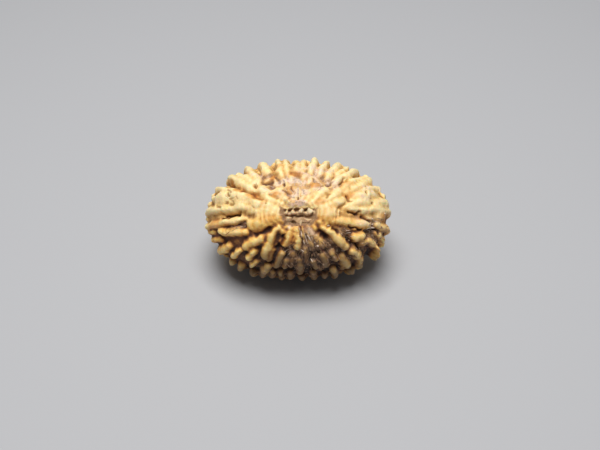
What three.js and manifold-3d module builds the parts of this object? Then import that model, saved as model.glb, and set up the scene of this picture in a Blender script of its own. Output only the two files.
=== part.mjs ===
// A rudraksha seed: the oblong, ridged stone of the fruit, lying with its mouth forwards and up.
// Millimetres, +Z up, long side along X. The origin is on the surface that the seed lies on, under
// the middle of its outline.
//
// A place on the seed is two angles in degrees. The azimuth goes round the axis of the mouth: 0 is
// the right end, 90 the upper side, 180 the left end and 270 the lower side, as seen into the mouth.
// The polar angle goes from the mouth (0) over the girth (90) to the far pole (180).

import * as THREE from "three";
import { mergeVertices } from "three/addons/utils/BufferGeometryUtils.js";
import Module from "manifold-3d";

// Driving dimensions. The groove floor is the smooth body that the ridges stand on.
const FLOOR_HALF_LENGTH = 14.95; // along the long side, to the right
const FLOOR_HALF_HEIGHT = 9.45; // across the face that holds the mouth
const FLOOR_HALF_DEPTH = 8.9; // from the centre out to the mouth
const FLOOR_FULLNESS = 0.93; // 1 is an ellipse round the girth, and less is fuller at its four corners
const COLLAR_RISE = 0.5; // how much higher the floor is round the mouth
const COLLAR_FALL = [30, 44]; // polar angles where it starts to fall and where it is down
const MOUTH_LIFT = 51.5; // degrees that the axis of the mouth rises above level
const RIDGE_HEIGHT = 1.25; // crest above the groove floor
const RIDGE_ROOT = 0.9; // how far a ridge's root is sunk into the floor
const RIDGE_BLUNTNESS = 4; // 2 gives a ridge round ends and flanks, and more makes them blunter
const RIDGE_FLARE = 0.3; // how much wider a ridge is at the floor than at its crest
const NARROW_FROM = 36; // degrees from either pole where a ridge starts to narrow towards it
const NARROW_TO = 10; // where it is at its narrowest
const NARROWEST = 0.62; // as a share of its width
const REST_TRIM = 0.3; // depth of the small flat spot on the crests that the seed lies on

// The mouth: a pit with a wide upper edge and a narrow lower one, and two rows of nubs on its floor.
const MOUTH_TOP_WIDTH = 6.3;
const MOUTH_BOTTOM_WIDTH = 4.2;
const MOUTH_HEIGHT = 3;
const MOUTH_FLOOR = FLOOR_HALF_DEPTH - 0.45; // height of the pit's floor above the centre
const MOUTH_MIDDLE = [0.35, -0.55]; // to the right and up the face from the axis
const NUB_RADIUS = 0.52;
const NUB_CENTRE = 0.13; // above the pit's floor
const NUB_ROWS = [
  { count: 5, width: 4.3, up: 0.55 },
  { count: 4, width: 2.8, up: -0.85 },
];

// How finely the pieces are faceted.
const FLOOR_SEGMENTS = [22, 14]; // round the axis, and from pole to pole
const RIDGE_SIDES = 6;
const RIDGE_STEP = 2.6; // about how long one facet of a ridge is
const RIDGE_STEPS = [3, 5]; // fewest and most facets from end to end
const NUB_SEGMENTS = [5, 4];
const WELD = 1e-4; // vertices nearer than this are one
const STRIDE = 0.01; // share of a ridge's length over which its direction is taken

// The ridges on the half with the mouth, one row each: azimuth and polar angle of the inner end,
// azimuth and polar angle of the outer end, width and, where it isn't RIDGE_HEIGHT, height.
const LEFT_END = [
  [160, 10, 161, 46, 2.5, 1.1],
  [172, 10, 172, 34, 2.4, 1.1],
  [184, 10, 184, 26, 2.1, 1.1],
  [197, 11, 199, 35, 2.6, 1.15],
  [212, 11, 208, 27, 1.8, 0.95],
  [173, 37, 176, 93, 1.4],
  [188, 32, 187, 93, 1.2],
  [194, 67, 192, 90, 1.0, 0.9],
  [207, 36, 195, 63, 1.35],
  [203, 64, 199, 92, 1.1, 0.95],
  [214, 58, 211, 98, 1.35],
  [228, 27, 220, 51, 1.35],
  [223, 54, 222, 74, 1.05],
  [224, 82, 224, 100, 1.1],
  [230, 49, 234, 65, 1.3],
  [232, 76, 232, 102, 1.2],
  [234, 13, 244, 51, 1.3],
  [240, 58, 239, 73, 1.0],
  [241, 81, 241, 101, 1.2],
  [250, 59, 247, 99, 1.25],
];
const LOWER_SIDE = [
  [253, 12, 254, 33, 1.1, 1.0],
  [261, 12, 261, 34, 1.2, 1.0],
  [270, 12, 270, 35, 1.2, 1.05],
  [278, 12, 278, 29, 1.0, 0.8],
  [287, 13, 287, 41, 1.1, 0.8],
  [296, 13, 298, 39, 1.1, 0.8],
  [305, 12, 305, 25, 1.0, 0.85],
  [247, 38, 248, 56, 1.1, 0.8],
  [257, 39, 255, 63, 1.1],
  [262, 47, 261, 61, 1.1],
  [255, 69, 255, 97, 1.2],
  [260, 66, 260, 80, 1.1],
  [261, 84, 261, 100, 1.2],
  [266, 66, 266, 98, 1.2],
  [266, 38, 266, 61, 1.1, 0.8],
  [271, 45, 271, 73, 1.2],
  [276, 32, 276, 58, 1.1, 0.75],
  [272, 79, 272, 98, 1.2],
  [281, 49, 281, 62, 1.2],
  [285, 45, 284, 72, 1.1, 0.75],
  [279, 67, 279, 98, 1.3],
  [290, 43, 289, 63, 1.5],
  [286, 76, 286, 99, 1.1],
  [293, 67, 292, 100, 1.25],
  [299, 43, 298, 58, 1.1, 1.0],
  [299, 62, 297, 84, 1.1, 0.9],
  [306, 48, 304, 77, 1.4],
  [304, 84, 302, 103, 1.4],
  [311, 80, 309, 102, 1.25],
];
const RIGHT_END = [
  [334, 12, 332, 25, 1.9, 1.0],
  [350, 12, 350, 27, 2.4, 1.15],
  [5, 13, 4, 28, 2.2, 1.15],
  [21, 11, 18, 32, 2.2, 1.1],
  [15, 34, 14, 51, 2.0],
  [13, 54, 12, 90, 1.8],
  [6, 31, 4, 97, 1.3],
  [357, 46, 354, 60, 0.9, 0.9],
  [350, 27, 346, 50, 1.6],
  [353, 51, 350, 96, 1.3],
  [343, 57, 339, 86, 1.3],
  [336, 40, 332, 65, 1.7],
  [318, 21, 311, 45, 1.6],
  [316, 46, 313, 76, 1.35],
  [326, 60, 325, 83, 1.2, 0.9],
  [336, 68, 323, 106, 1.4, 1.65],
  [338, 86, 336, 101, 1.2],
  [25, 38, 21, 66, 1.6],
  [29, 50, 27, 76, 1.3],
];
const UPPER_SIDE = [
  [40, 9, 38, 38, 1.8, 1.1],
  [54, 9, 53, 35, 1.5, 1.05],
  [66, 9, 67, 42, 1.3, 1.0],
  [78, 9, 79, 42, 1.3, 1.0],
  [90, 10, 90, 42, 1.2, 1.0],
  [102, 9, 102, 42, 1.35, 1.0],
  [115, 9, 115, 42, 1.35, 1.0],
  [130, 9, 129, 38, 1.7, 1.05],
  [145, 9, 143, 30, 1.6, 1.05],
  [35, 42, 38, 95, 1.7],
  [43, 40, 41, 70, 1.3, 1.15],
  [53, 36, 51, 96, 1.45],
  [58, 46, 57, 86, 1.2, 1.1],
  [64, 43, 66, 95, 1.4],
  [72, 43, 72, 95, 1.25],
  [80, 42, 81, 98, 1.3, 1.5],
  [87, 43, 87, 76, 1.3, 1.05],
  [92, 45, 91, 66, 1.0, 0.95],
  [97, 43, 98, 86, 1.15, 1.15],
  [104, 43, 103, 91, 1.2],
  [114, 43, 112, 96, 2.0],
  [127, 40, 124, 90, 1.6],
  [133, 36, 133, 66, 1.7],
  [141, 31, 136, 95, 1.7],
  [154, 31, 150, 84, 1.3],
  [161, 49, 164, 78, 1.3],
];

// The ridges past the girth carry on where these rows cross it, every other row in two lengths and
// the rows between in one shorter one.
const ROWS = [
  3, 12, 22, 31, 40, 48, 56, 63, 71, 78, 85, 91, 97, 103, 113, 121, 130, 140, 153, 164, 176, 187, 199,
  208, 215, 223, 232, 240, 248, 257, 265, 273, 281, 289, 297, 305, 314, 325, 338, 348,
];
const ROW_START = [97, 104]; // polar angle where a row's first length begins, from and to
const ROW_BREAK = [122, 136]; // where it gives way to the second
const ROW_END = [158, 167]; // where a row of two lengths ends
const SHORT_ROW_END = [140, 150]; // where a row of one length ends
const ROW_GAP = 3; // degrees between the two lengths
const ROW_WIDTH = [1.25, 1.75];
const ROW_SWAY = 4; // most degrees of azimuth that a row strays over one length
const ROW_SEED = 41;

const COLOUR = 0xd9b47c;

const degrees = THREE.MathUtils.degToRad;

// A repeatable sequence of numbers from 0 to 1.
function drawsFrom(seed) {
  let state = seed;
  return () => {
    state = (Math.imul(state, 1664525) + 1013904223) >>> 0;
    return state / 2 ** 32;
  };
}

// A share of a full turn kept in sign, but with its size raised to a power.
function signedPower(value, power) {
  return Math.sign(value) * Math.abs(value) ** power;
}

// The point at some height above the groove floor. The seed's own axes are used here: x along its
// length, y up its face and z out of its mouth.
function seedPoint(azimuth, polar, height) {
  const ring = Math.sin(degrees(polar));
  const point = new THREE.Vector3(
    FLOOR_HALF_LENGTH * ring * signedPower(Math.cos(degrees(azimuth)), FLOOR_FULLNESS),
    FLOOR_HALF_HEIGHT * ring * signedPower(Math.sin(degrees(azimuth)), FLOOR_FULLNESS),
    FLOOR_HALF_DEPTH * Math.cos(degrees(polar)),
  );
  return point.addScaledVector(outward(point), height);
}

// The direction that a place on the groove floor faces.
function outward(point) {
  return new THREE.Vector3(
    point.x / FLOOR_HALF_LENGTH ** 2,
    point.y / FLOOR_HALF_HEIGHT ** 2,
    point.z / FLOOR_HALF_DEPTH ** 2,
  ).normalize();
}

// A closed geometry in the seed's own axes as a solid that can be joined and cut, tilted to how the
// seed lies.
const wasm = await Module();
wasm.setup();

function solid(geometry) {
  geometry.rotateX(degrees(90 - MOUTH_LIFT));
  geometry.deleteAttribute("normal");
  geometry.deleteAttribute("uv");
  const merged = mergeVertices(geometry, WELD);
  return new wasm.Manifold(
    new wasm.Mesh({
      numProp: 3,
      vertProperties: merged.attributes.position.array,
      triVerts: new Uint32Array(merged.index.array),
    }),
  );
}

// Moves every vertex of a geometry to where the function puts it.
function reshape(geometry, place) {
  const position = geometry.attributes.position;
  const vertex = new THREE.Vector3();
  for (let i = 0; i < position.count; i++) {
    vertex.fromBufferAttribute(position, i);
    const placed = place(vertex);
    position.setXYZ(i, placed.x, placed.y, placed.z);
  }
  return geometry;
}

// The smooth body: a ball drawn out to the groove floor.
function grooveFloor() {
  const ball = new THREE.SphereGeometry(1, ...FLOOR_SEGMENTS).rotateX(degrees(90));
  return reshape(ball, (vertex) => {
    const azimuth = THREE.MathUtils.radToDeg(Math.atan2(vertex.y, vertex.x));
    const polar = THREE.MathUtils.radToDeg(Math.acos(THREE.MathUtils.clamp(vertex.z, -1, 1)));
    return seedPoint(azimuth, polar, COLLAR_RISE * (1 - THREE.MathUtils.smoothstep(polar, ...COLLAR_FALL)));
  });
}

// One ridge: a ball drawn out along its line on the floor, blunt at both ends, with its root sunk in.
function ridge([innerAzimuth, innerPolar, outerAzimuth, outerPolar, width, height = RIDGE_HEIGHT]) {
  const turn = THREE.MathUtils.euclideanModulo(outerAzimuth - innerAzimuth + 180, 360) - 180;
  const polarAt = (share) => THREE.MathUtils.lerp(innerPolar, outerPolar, share);
  const along = (share, lift) => seedPoint(innerAzimuth + turn * share, polarAt(share), lift);
  const length = along(0, 0).distanceTo(along(1, 0));
  const steps = THREE.MathUtils.clamp(Math.round(length / RIDGE_STEP) + 1, ...RIDGE_STEPS);
  const ball = new THREE.SphereGeometry(1, RIDGE_SIDES, steps);
  const halfThickness = (height + RIDGE_ROOT) / 2;
  const middleHeight = (height - RIDGE_ROOT) / 2;
  return reshape(ball, (vertex) => {
    const power = 2 / RIDGE_BLUNTNESS;
    const share = (1 + signedPower(vertex.y, power)) / 2;
    const around = Math.hypot(vertex.x, vertex.z);
    const swell = around > WELD ? around ** power / around : 0;
    const foot = along(share, 0);
    const up = outward(foot);
    const onward = along(share + STRIDE, 0).sub(along(share - STRIDE, 0)).normalize();
    const across = new THREE.Vector3().crossVectors(onward, up).normalize();
    const lift = middleHeight + vertex.z * swell * halfThickness;
    const flare = 1 + RIDGE_FLARE * (1 - THREE.MathUtils.clamp(lift / height, 0, 1));
    const fromPole = Math.min(polarAt(share), 180 - polarAt(share));
    const narrowed = THREE.MathUtils.mapLinear(fromPole, NARROW_TO, NARROW_FROM, NARROWEST, 1);
    const halfWidth = (width / 2) * flare * THREE.MathUtils.clamp(narrowed, NARROWEST, 1);
    return foot.addScaledVector(across, vertex.x * swell * halfWidth).addScaledVector(up, lift);
  });
}

// The lengths of ridge past the girth, out to the far pole.
function farRidges() {
  const draw = drawsFrom(ROW_SEED);
  const between = ([low, high]) => low + (high - low) * draw();
  return ROWS.flatMap((azimuth, index) => {
    const start = between(ROW_START);
    const middle = between(ROW_BREAK);
    const end = between(index % 2 ? SHORT_ROW_END : ROW_END);
    const [sway, secondSway] = [draw(), draw()].map((value) => (2 * value - 1) * ROW_SWAY);
    const [width, secondWidth] = [between(ROW_WIDTH), between(ROW_WIDTH)];
    if (index % 2) return [[azimuth, start, azimuth + sway, end, width]];
    return [
      [azimuth, start, azimuth + sway, middle, width],
      [azimuth + sway, middle + ROW_GAP, azimuth + secondSway, end, secondWidth],
    ];
  });
}

// The block that leaves the pit of the mouth when it is taken away.
function mouthPit() {
  const [right, up] = MOUTH_MIDDLE;
  const outline = new THREE.Shape([
    new THREE.Vector2(right - MOUTH_TOP_WIDTH / 2, up + MOUTH_HEIGHT / 2),
    new THREE.Vector2(right - MOUTH_BOTTOM_WIDTH / 2, up - MOUTH_HEIGHT / 2),
    new THREE.Vector2(right + MOUTH_BOTTOM_WIDTH / 2, up - MOUTH_HEIGHT / 2),
    new THREE.Vector2(right + MOUTH_TOP_WIDTH / 2, up + MOUTH_HEIGHT / 2),
  ]);
  return new THREE.ExtrudeGeometry(outline, {
    depth: FLOOR_HALF_DEPTH,
    bevelEnabled: false,
  }).translate(0, 0, MOUTH_FLOOR);
}

// The nubs on the floor of the mouth, in two rows.
function mouthNubs() {
  return NUB_ROWS.flatMap(({ count, width, up }) =>
    Array.from({ length: count }, (_, index) =>
      new THREE.SphereGeometry(NUB_RADIUS, ...NUB_SEGMENTS)
        .rotateX(degrees(90))
        .translate(
          MOUTH_MIDDLE[0] + width * (index / (count - 1) - 0.5),
          MOUTH_MIDDLE[1] + up,
          MOUTH_FLOOR + NUB_CENTRE,
        ),
    ),
  );
}

// Everything below a level, in the seed's own axes.
function roomBelow(level) {
  const reach = 4 * FLOOR_HALF_LENGTH;
  return new THREE.BoxGeometry(reach, reach, reach)
    .translate(0, 0, level - reach / 2)
    .rotateX(degrees(MOUTH_LIFT - 90));
}

// The triangles of the outermost skin alone, so that a pocket sealed in between ridges is filled.
function outerSkin(positions, triangles) {
  const parent = Uint32Array.from({ length: positions.length / 3 }, (_, vertex) => vertex);
  const rootOf = (vertex) => {
    let root = vertex;
    while (parent[root] !== root) root = parent[root];
    return root;
  };
  for (let i = 0; i < triangles.length; i += 3) {
    const root = rootOf(triangles[i]);
    parent[rootOf(triangles[i + 1])] = root;
    parent[rootOf(triangles[i + 2])] = root;
    parent[triangles[i]] = root;
  }
  const sizes = new Map();
  for (const vertex of triangles) sizes.set(rootOf(vertex), (sizes.get(rootOf(vertex)) ?? 0) + 1);
  const largest = Math.max(...sizes.values());
  return triangles.filter((_, i) => sizes.get(rootOf(triangles[i])) === largest);
}

// The seed as it lies, with its lowest crests worn flat.
function seedGeometry() {
  const ridges = [...LEFT_END, ...LOWER_SIDE, ...RIGHT_END, ...UPPER_SIDE, ...farRidges()];
  let seed = solid(grooveFloor());
  for (const row of ridges) seed = seed.add(solid(ridge(row)));
  seed = seed.subtract(solid(mouthPit()));
  for (const nub of mouthNubs()) seed = seed.add(solid(nub));

  const surface = seed.boundingBox().min[2] + REST_TRIM;
  seed = seed.subtract(solid(roomBelow(surface)));
  const mesh = seed.getMesh();
  const geometry = new THREE.BufferGeometry()
    .setAttribute("position", new THREE.BufferAttribute(mesh.vertProperties, 3))
    .setIndex(new THREE.BufferAttribute(outerSkin(mesh.vertProperties, mesh.triVerts), 1));
  geometry.computeBoundingBox();
  const middle = geometry.boundingBox.getCenter(new THREE.Vector3());
  return geometry.translate(-middle.x, -middle.y, -surface);
}

const group = new THREE.Group();
const seed = new THREE.Mesh(
  seedGeometry(),
  new THREE.MeshStandardMaterial({ color: COLOUR, roughness: 0.6, metalness: 0 }),
);
seed.name = "rudraksha_seed";
seed.geometry.computeVertexNormals();
group.add(seed);

export default group;
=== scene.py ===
"""The looks of a rudraksha seed: its oblong stone with knuckled ridges, the pitted mouth where the
stem sat, and the film and fibres of dried pulp that are left in its grooves.

Lengths are in millimetres until the meshes are finished, and then in metres. A place on the seed
is two angles in degrees. The azimuth goes round the axis of the mouth: 0 is the right end, 90 the
upper side, 180 the left end and 270 the lower side, as seen into the mouth. The polar angle goes
from the mouth (0) over the girth (90) to the far pole (180). The seed's own axes are x along its
length, y up its face and z out of its mouth."""

import itertools
import math

import bmesh
import bpy
import numpy as np
from mathutils import Matrix, Vector
from mathutils.bvhtree import BVHTree


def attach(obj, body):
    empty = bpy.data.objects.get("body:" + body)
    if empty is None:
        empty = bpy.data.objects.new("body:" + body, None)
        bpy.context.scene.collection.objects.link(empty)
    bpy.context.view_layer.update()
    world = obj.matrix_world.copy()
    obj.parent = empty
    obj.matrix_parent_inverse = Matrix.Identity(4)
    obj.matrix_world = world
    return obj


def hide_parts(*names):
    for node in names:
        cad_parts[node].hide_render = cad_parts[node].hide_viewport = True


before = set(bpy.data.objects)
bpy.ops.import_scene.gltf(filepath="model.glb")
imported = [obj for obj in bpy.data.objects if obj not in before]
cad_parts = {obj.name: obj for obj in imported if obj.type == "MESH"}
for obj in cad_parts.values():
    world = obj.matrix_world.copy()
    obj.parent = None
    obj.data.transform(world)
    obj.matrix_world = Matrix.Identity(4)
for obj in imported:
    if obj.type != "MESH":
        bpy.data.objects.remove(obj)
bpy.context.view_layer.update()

NODE = "rudraksha_seed"
BODY = "root"
MM = 0.001  # metres in a millimetre

# The groove floor: the smooth body that the ridges stand on.
FLOOR_HALF_LENGTH = 14.95
FLOOR_HALF_HEIGHT = 9.45
FLOOR_HALF_DEPTH = 8.9
FLOOR_HALVES = np.array([FLOOR_HALF_LENGTH, FLOOR_HALF_HEIGHT, FLOOR_HALF_DEPTH])
FLOOR_FULLNESS = 0.93  # under 1 makes the outline, as seen into the mouth, fuller than an ellipse
COLLAR_RISE = 0.5  # how much higher the floor is round the mouth
COLLAR_FALL = (30, 44)  # the polar angles between which that fades out
LIP_RISE = 0.2  # how much higher still it is at the rim of the mouth
LIP_FALL = (12, 20)
LOWER_LIP_DROP = 0.75  # how much of both is missing below the mouth
LOWER_LIP_FROM = (-0.7, -0.95)  # the sine of the azimuth, over which it goes missing
MOUTH_LIFT = 51.5  # how far the axis of the mouth points up from level, in degrees
REST_TRIM = 0.3  # how much of the lowest ridges is worn flat, where the seed rests

# The ridges.
RIDGE_HEIGHT = 1.25
RIDGE_ROOT = 0.9  # how deep a ridge reaches below the floor
RIDGE_BLUNTNESS = 4  # over 2 keeps a ridge full almost to its ends
RIDGE_FLARE = 0.28  # how much wider a ridge is at the floor
NARROW_FROM = 36  # degrees from the mouth or the far pole where ridges start to narrow
NARROW_TO = 10  # where they are at their narrowest
NARROWEST = 0.62  # as a share of their width
KNUCKLE_LENGTH = (1.3, 2.1)  # from one knuckle of a ridge to the next
KNUCKLE_SWELL = 0.1  # how much wider a ridge is at a knuckle, as a share of its width
KNUCKLE_DIP = 0.12  # how much lower it is between knuckles, as a share of its height
RIDGE_WANDER = 0.1  # how far a ridge strays from its line to either side
WANDER_SHARE = 0.43  # knuckles to one bend of that wandering line
KNUCKLE_SEED = 7

# The mouth: a pit with sloping walls, wider at its top than at its bottom. Places in it are
# measured across and up from the axis.
MOUTH_TOP_WIDTH = 7.0
MOUTH_BOTTOM_WIDTH = 4.1
MOUTH_HEIGHT = 2.5
MOUTH_CORNER = 0.7  # how much its top corners are rounded off
MOUTH_CORNER_FROM = (0.65, 1.05)  # from its bottom to its top, where they start and end
MOUTH_FLOOR = FLOOR_HALF_DEPTH - 0.1
MOUTH_MIDDLE = (0.15, -0.65)
MOUTH_WALL = 1.15  # how steeply the side walls rise, in millimetres up for each one out
MOUTH_TOP_WALL = 3.0
MOUTH_BOTTOM_WALL = 1.2
MOUTH_INSET = 0.85  # how far inside the rim the foot of the side walls is
MOUTH_TOP_INSET = 0.12
MOUTH_BOTTOM_INSET = 0.3
MOUTH_REACH = 17  # the polar angle within which the skin is finer
MOUTH_LIMIT = 5  # farther from the axis than any of the mouth
MOUTH_LUMP_SIZE = 0.9
MOUTH_GRAIN_SIZE = 0.4
MOUTH_RIM_UNEVEN = 0.2  # how far its lumps move the rim in or out
MOUTH_RIM_GRAIN = 0.08
MOUTH_FLOOR_UNEVEN = 0.1
MOUTH_EDGE = (0.35, -0.2)  # distances out from the rim between which its colours set in
MOUTH_EDGE_GRAIN = 0.15
MOUTH_LIGHTNESS = 0.1  # of its floor, where 0 is the darkest of its colours and 1 the palest
NUB_LIGHTNESS = 0.7  # what each millimetre of a nub adds
HOLE_DARKNESS = 0.5  # what each millimetre of a hole takes away, as painted shade in the holes
NUB_WARP = 0.2  # how far the outline of a nub or a hole strays
NUB_WARP_SIZE = 0.55
# What stands in the mouth in two rows, two bars first and then the nubs on them: across, up, half
# width, half height and how far it rises above the mouth's floor.
NUBS = [
    [0.3, 0.0, 2.7, 0.42, 0.45],
    [0.5, -1.2, 2.2, 0.5, 0.4],
    [-1.85, 0.05, 0.4, 0.42, 0.8],
    [-1.2, -0.1, 0.4, 0.34, 0.6],
    [-0.72, 0.08, 0.46, 0.44, 0.9],
    [-0.1, -0.12, 0.38, 0.32, 0.65],
    [0.52, 0.24, 0.5, 0.5, 1.1],
    [1.25, -0.12, 0.42, 0.32, 0.7],
    [1.92, 0.2, 0.5, 0.48, 1.15],
    [2.55, 0.0, 0.36, 0.36, 0.6],
    [-1.5, -1.0, 0.5, 0.46, 0.75],
    [-0.62, -0.88, 0.3, 0.25, 0.6],
    [0.1, -1.05, 0.42, 0.34, 0.6],
    [0.85, -1.1, 0.5, 0.36, 0.55],
    [1.6, -1.2, 0.6, 0.42, 0.6],
    [0.42, -1.65, 0.2, 0.6, 0.75],
    [-0.78, 0.6, 0.12, 0.42, 0.8],
]
# The dark holes between them: across, up, half width, half height and depth below its floor.
HOLES = [
    [-1.33, 0.5, 0.36, 0.32, 0.3],
    [-0.13, 0.45, 0.26, 0.22, 0.1],
    [1.17, 0.35, 0.32, 0.36, 0.15],
    [2.35, 0.55, 0.45, 0.22, 0.2],
    [-0.65, -1.5, 0.45, 0.38, 0.6],
    [0.3, -0.6, 1.5, 0.2, 0.15],
]

# The relief that is finer than the ridges. Crest is 0 on the floor and 1 at a ridge's full height.
WRINKLE_LENGTH = 0.95  # from one cross wrinkle of a ridge to the next
WRINKLE_DEPTH = 0.025
WRINKLE_CREST = (0.35, 0.7)  # the crest over which they set in
WRINKLE_BEND = 3.5  # how far they stray from even steps, in radians
WRINKLE_BEND_SIZE = 1.3
WRINKLE_MIX = 0.6  # how deep they are on average, and how much that varies
WRINKLE_MIX_SIZE = 2.4
COLLAR_WRINKLE_DEPTH = 0.075  # of the folds round the mouth
COLLAR_WRINKLE_RANGE = (20, 28)  # the polar angles between which those fade out
LUMP_SIZE = 1.15
LUMP_HEIGHT = 0.12
GRAIN_SIZE = 0.45
GRAIN_HEIGHT = 0.045
CRUST_SIZE = 0.5
CRUST_HEIGHT = 0.16  # of the crust of dried pulp in a groove, where it is thickest
CRUST_CREST = (0.25, 0.8)  # the crest over which it fades out
CRUST_MIX = 0.6  # the share of it that is there on average
MOUTH_CALM = 0.8  # how much of all this is missing in the mouth
# Painted shade: the tone darkens where the skin lies below its smoothed surroundings.
GROOVE_ROUNDS = 14  # how widely the surroundings are smoothed, which tell groove from ridge
GROOVE_RANGE = (0.14, -0.12)  # how far a groove lies below them, and how far a ridge's top does
TONE_CREST = (0.1, 1.0)  # the crest from the darkest tone to the palest

# Where the grooves are shallow, as soft patches: azimuth, polar angle, half width in azimuth, half
# width in polar angle, and how much higher the floor is.
FILL = [
    [180, 17, 38, 14, 1.05],
    [2, 16, 38, 12, 0.92],
    [90, 24, 46, 26, 0.45],
    [60, 20, 24, 12, 0.8],
    [122, 20, 20, 12, 0.8],
    [85, 54, 30, 12, 0.5],
    [34, 42, 14, 16, 0.7],
    [12, 42, 11, 16, 0.7],
    [163, 42, 17, 34, 1.15],
    [262, 18, 18, 10, 0.85],
    [286, 26, 20, 16, 0.5],
    [90, 75, 70, 18, 0.05],
    [246, 17, 13, 7, 0.85],
    [10, 60, 22, 24, 0.85],
    [2, 84, 22, 18, 0.2],
    [180, 74, 24, 26, 0.4],
    [215, 40, 20, 20, 0.25],
]
FILL_UNEVEN = 0.45  # how much of that the lumps on it take away or add
FILL_LUMP_SIZE = 1.5
FILL_LUMPS_FROM = (12, 18)  # the polar angles over which those set in
PATCH_EDGE = (0.5, 1.2)  # where a soft patch starts to fade and where it ends, in half widths

# Holes and short grooves in the stone, each from one place to another: azimuth and polar angle of
# both ends, half width, depth and how brown it is. The brown is partly the stone's own and partly
# painted shade, as in the cavity beside the spur at the lower right.
HOLLOWS = [
    [122, 31, 119, 37, 0.8, 0.4, 0.85],
    [124, 37, 117, 38, 0.5, 0.35, 0.9],
    [113, 13, 101, 14, 0.25, 0.1, 0.5],
    [84, 14, 74, 17, 0.22, 0.1, 0.4],
    [96, 19, 99, 24, 0.3, 0.12, 0.5],
    [72, 33, 76, 37, 0.3, 0.2, 0.6],
    [110, 33, 111, 41, 0.3, 0.25, 0.6],
    [107, 28, 106, 31, 0.28, 0.5, 1.0],
    [111, 24, 107, 15, 0.32, 0.25, 0.7],
    [98, 27, 97, 21, 0.22, 0.15, 0.5],
    [90, 12, 90, 13, 0.28, 0.4, 0.9],
    [83, 23, 80, 19, 0.3, 0.18, 0.5],
    [60, 31, 60, 24, 0.18, 0.14, 0.5],
    [44, 26, 38, 22, 0.35, 0.25, 0.5],
    [57, 34, 55, 38, 0.28, 0.25, 0.6],
    [137, 37, 136, 39, 0.3, 0.5, 1.0],
    [134, 37, 132, 41, 0.16, 0.15, 0.6],
    [153, 26, 148, 44, 0.4, 0.3, 0.6],
    [157, 53, 158, 50, 0.32, 0.3, 0.9],
    [162, 49, 161, 46, 0.25, 0.2, 0.6],
    [168, 52, 168, 50, 0.28, 0.25, 0.8],
    [169, 47, 168, 45, 0.28, 0.2, 0.6],
    [172, 60, 174, 55, 0.4, 0.35, 0.7],
    [153, 57, 155, 49, 0.22, 0.15, 0.7],
    [159, 54, 163, 48, 0.22, 0.15, 0.7],
    [164, 49, 167, 43, 0.2, 0.12, 0.6],
    [157, 45, 161, 42, 0.2, 0.12, 0.6],
    [168, 29, 170, 27, 0.22, 0.15, 0.6],
    [178, 40, 178, 38, 0.25, 0.15, 0.4],
    [184, 27, 186, 32, 0.5, 0.2, 0.4],
    [181, 39, 183, 55, 0.42, 0.6, 1.0],
    [157, 21, 160, 21, 0.25, 0.15, 0.6],
    [29, 36, 26, 36, 0.42, 0.6, 1.0],
    [21, 35, 18, 37, 0.3, 0.25, 0.6],
    [25, 53, 24, 52, 0.36, 0.45, 1.0],
    [11, 53, 11, 54, 0.3, 0.35, 0.7],
    [47, 40, 50, 48, 0.32, 0.35, 0.8],
    [17, 31, 9, 26, 0.5, 0.3, 0.3],
    [9, 26, 2, 24, 0.35, 0.2, 0.3],
    [340, 34, 341, 44, 0.4, 0.45, 1.0],
    [323, 41, 321, 48, 0.5, 0.6, 1.0],
    [333, 53, 334, 54, 0.35, 0.35, 0.6],
    [322, 51, 320, 59, 0.5, 0.6, 1.0],
    [326, 25, 324, 31, 0.35, 0.4, 1.0],
    [346, 57, 344, 64, 0.3, 0.4, 1.0],
    [223, 23, 218, 34, 0.45, 0.4, 1.0],
    [2, 33, 1, 42, 0.3, 0.4, 0.9],
    [357, 44, 354, 51, 0.45, 0.5, 1.0],
    [263, 22, 263, 28, 0.3, 0.12, 0.5],
    [274, 15, 274, 32, 0.3, 0.25, 0.6],
    [251, 24, 250, 37, 0.5, 0.5, 1.0],
    [305, 22, 306, 29, 0.6, 0.55, 1.0],
    [327, 71, 318, 94, 0.95, 0.15, 1.0],
    [144, 60, 144, 90, 0.45, 0.7, 0.2],
    [130, 60, 130, 90, 0.5, 0.7, 0.2],
    [118, 58, 117, 90, 0.5, 0.8, 0.2],
    [106, 56, 105, 90, 0.5, 0.9, 0.2],
    [93, 60, 93, 90, 0.45, 0.8, 0.2],
    [84, 58, 84, 90, 0.45, 0.8, 0.2],
    [76, 58, 76, 90, 0.4, 0.6, 0.2],
    [69, 60, 69, 90, 0.45, 0.7, 0.2],
    [55, 62, 54, 90, 0.4, 0.6, 0.2],
    [46, 62, 46, 90, 0.4, 0.6, 0.2],
]
HOLLOW_HEIGHT = 0.9  # of its middle line above the floor
HOLLOW_REACH = 2.2  # the stone farther from that line than this is left alone
HOLLOW_WALL = (1.15, 0)  # from its edge to its full depth, in half widths
HOLLOW_BROWN = (0.9, 0.1)  # from where it starts to get brown to where it is brownest
HOLLOW_UNEVEN = 0.25  # how much its width varies
HOLLOW_WARP = 0.3  # how far its outline strays
HOLLOW_WARP_SIZE = 0.7
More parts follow.
